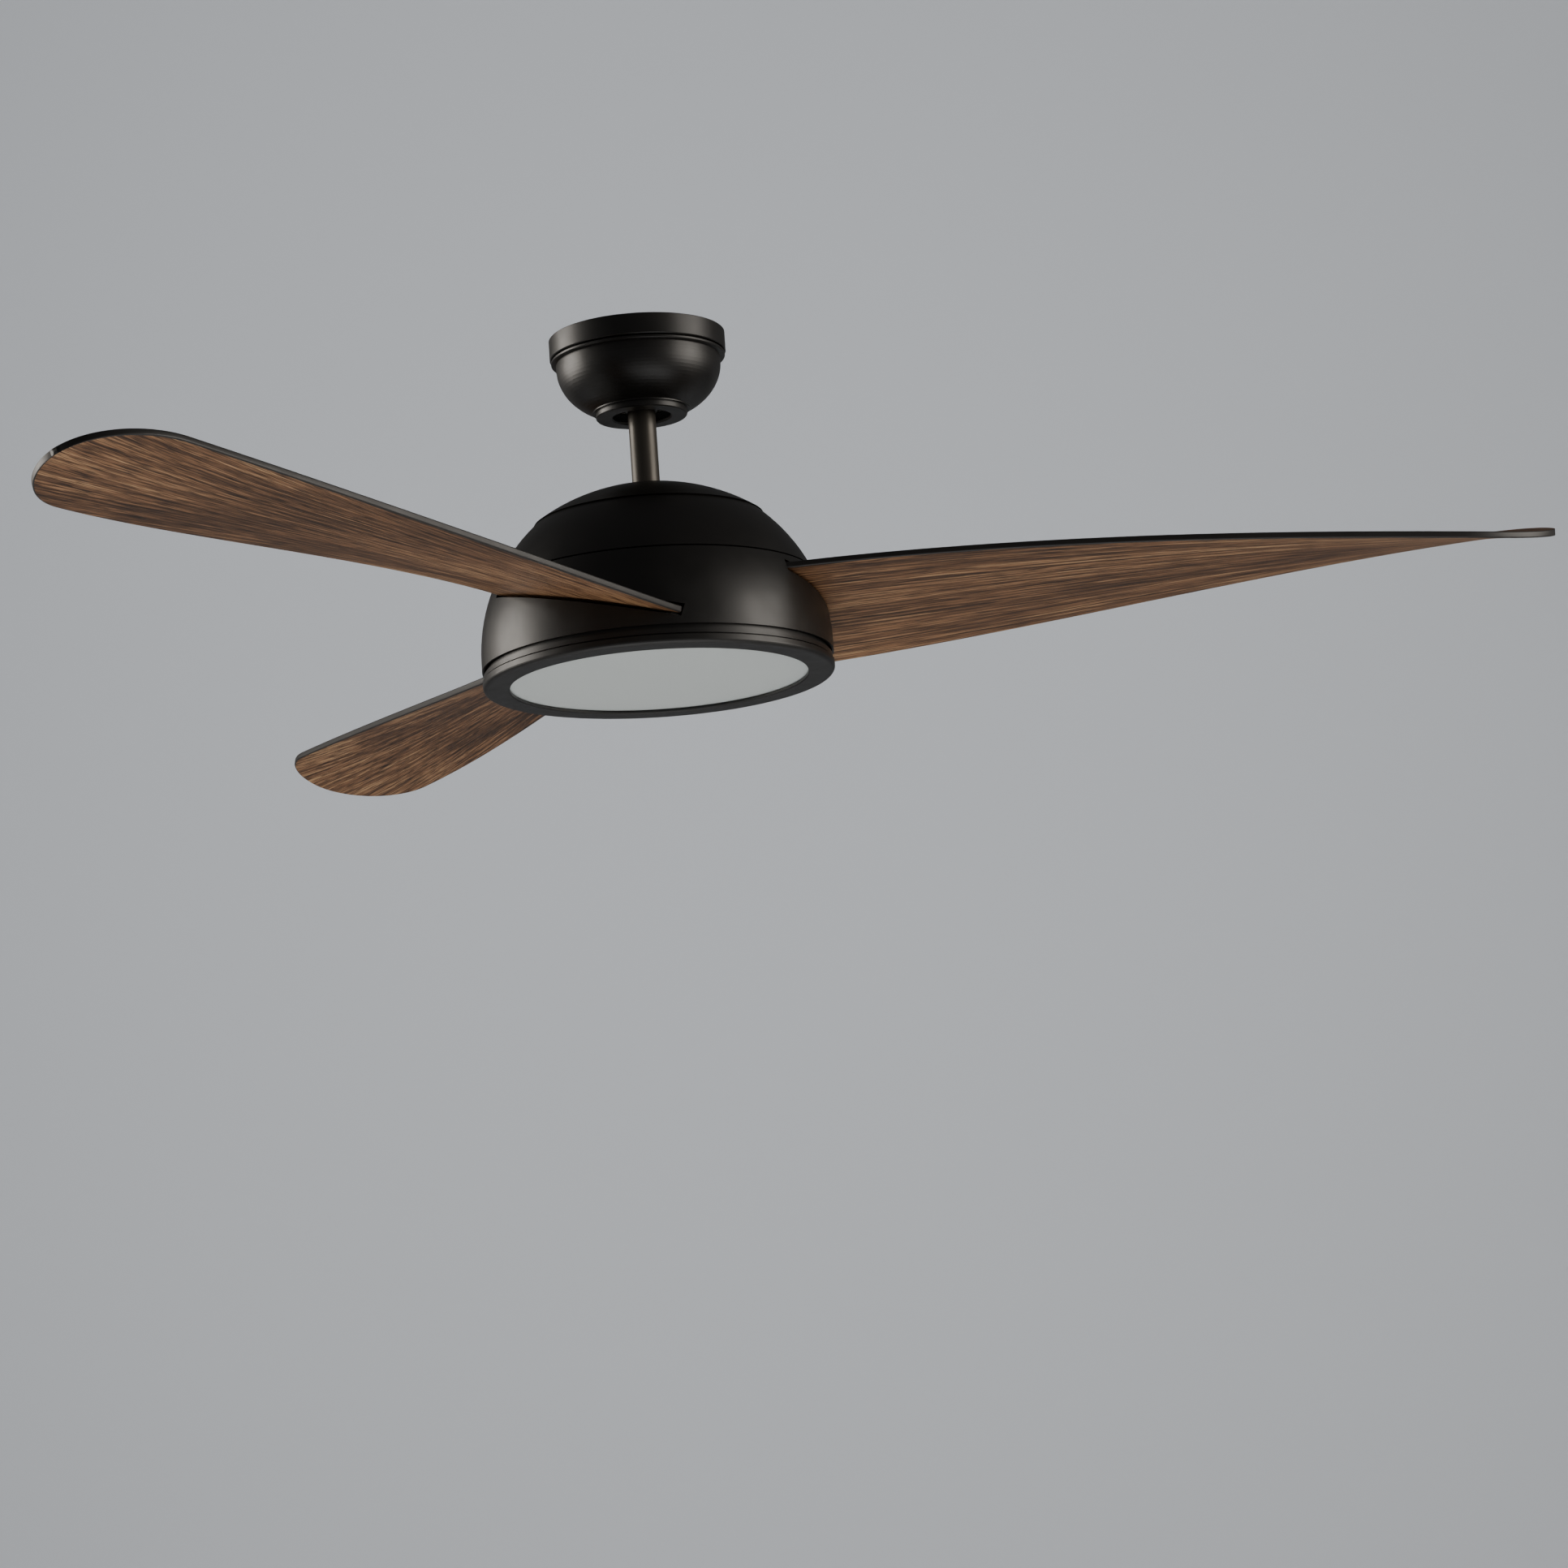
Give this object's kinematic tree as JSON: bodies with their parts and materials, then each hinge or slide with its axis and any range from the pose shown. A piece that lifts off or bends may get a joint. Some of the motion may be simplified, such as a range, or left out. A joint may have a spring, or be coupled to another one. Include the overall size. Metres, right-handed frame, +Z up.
{
  "type": "ceiling fan with light",
  "caption": "Ceiling fan with twisted wooden blades through slots in a dark hemispherical housing, a flat round LED light below, on a short downrod and domed canopy.",
  "frame": {"origin": "on the fan's axis in the ceiling plane, at the middle of the bracket's two slots", "axes": "+Z up into the ceiling, +X along the bracket's slots, -Y towards the viewer"},
  "size_m": [1.0927, 1.1953, 0.2735],
  "materials": {
    "bronze_paint": "satin",
    "ball_enamel": "satin",
    "zinc_steel": "satin",
    "bearing_steel": "polished",
    "cast_iron_yoke": "matte",
    "ferrite": "matte",
    "cast_aluminium": "matte",
    "copper_wire": "satin",
    "brass_nut": "satin",
    "green_screw": "satin",
    "white_plastic": "matte",
    "dark_plastic": "matte",
    "led_phosphor": "gloss",
    "lead_sheath": "matte",
    "gasket_rubber": "matte",
    "opal_acrylic": "satin",
    "walnut": "satin"
  },
  "bodies": {
    "bracket": {"hanger_bracket": "zinc_steel", "terminal_block": "white_plastic", "ground_screw": "green_screw", "canopy": "bronze_paint", "canopy_collar": "bronze_paint", "canopy_screws": "zinc_steel", "canopy_screw_cover": "bronze_paint"},
    "ball_liner": {"socket_liner": "white_plastic"},
    "hanging": {"hanger_ball": "ball_enamel", "ball_pin": "zinc_steel", "ball_set_screw": "zinc_steel", "downrod": "bronze_paint", "motor_yoke": "cast_iron_yoke", "yoke_pin": "zinc_steel", "yoke_cotter": "zinc_steel", "yoke_set_screws": "zinc_steel", "coupling_cover": "bronze_paint", "upper_housing": "bronze_paint", "housing_screws": "zinc_steel", "control_module": "dark_plastic", "motor_shaft": "bearing_steel", "stator_core": "cast_iron_yoke", "stator_windings": "copper_wire", "upper_bearing_inner": "bearing_steel", "lower_bearing_inner": "bearing_steel", "lead_harness": "lead_sheath", "harness_connector": "white_plastic", "light_pan": "bronze_paint", "pan_washer": "zinc_steel", "pan_nut": "brass_nut", "led_driver": "white_plastic", "led_board": "white_plastic", "leds": "led_phosphor", "board_screws": "zinc_steel"},
    "rotor": {"rotor_upper_case": "cast_aluminium", "rotor_lower_case": "cast_aluminium", "rotor_magnets": "ferrite", "upper_bearing_outer": "bearing_steel", "lower_bearing_outer": "bearing_steel", "upper_bearing_balls": "bearing_steel", "lower_bearing_balls": "bearing_steel", "case_screws": "zinc_steel", "shell_carrier": "cast_aluminium", "rotor_shell": "bronze_paint", "shell_screws": "zinc_steel", "blade_iron_1": "cast_aluminium", "blade_iron_2": "cast_aluminium", "blade_iron_3": "cast_aluminium", "blade_1": "walnut", "blade_2": "walnut", "blade_3": "walnut", "iron_screws": "zinc_steel", "blade_screws": "zinc_steel"},
    "trim_ring": {"light_trim_ring": "bronze_paint", "lens_gasket": "gasket_rubber", "lens": "opal_acrylic"}
  },
  "joints": [
    {"name": "ball_tilt_x", "type": "hinge", "parent": "bracket", "child": "ball_liner", "pos_m": [0, 0, -0.038], "axis": [1, 0, 0], "range_deg": [-10, 10]},
    {"name": "ball_tilt_y", "type": "hinge", "parent": "ball_liner", "child": "hanging", "pos_m": [0, 0, -0.038], "axis": [0, 1, 0], "range_deg": [-10, 10]},
    {"name": "rotor_spin", "type": "hinge", "parent": "hanging", "child": "rotor", "pos_m": [0, 0, -0.19], "axis": [0, 0, 1], "continuous": true},
    {"name": "trim_ring_twist", "type": "hinge", "parent": "hanging", "child": "trim_ring", "pos_m": [0, 0, -0.266], "axis": [0, 0, 1], "range_deg": [0, 15]}
  ]
}
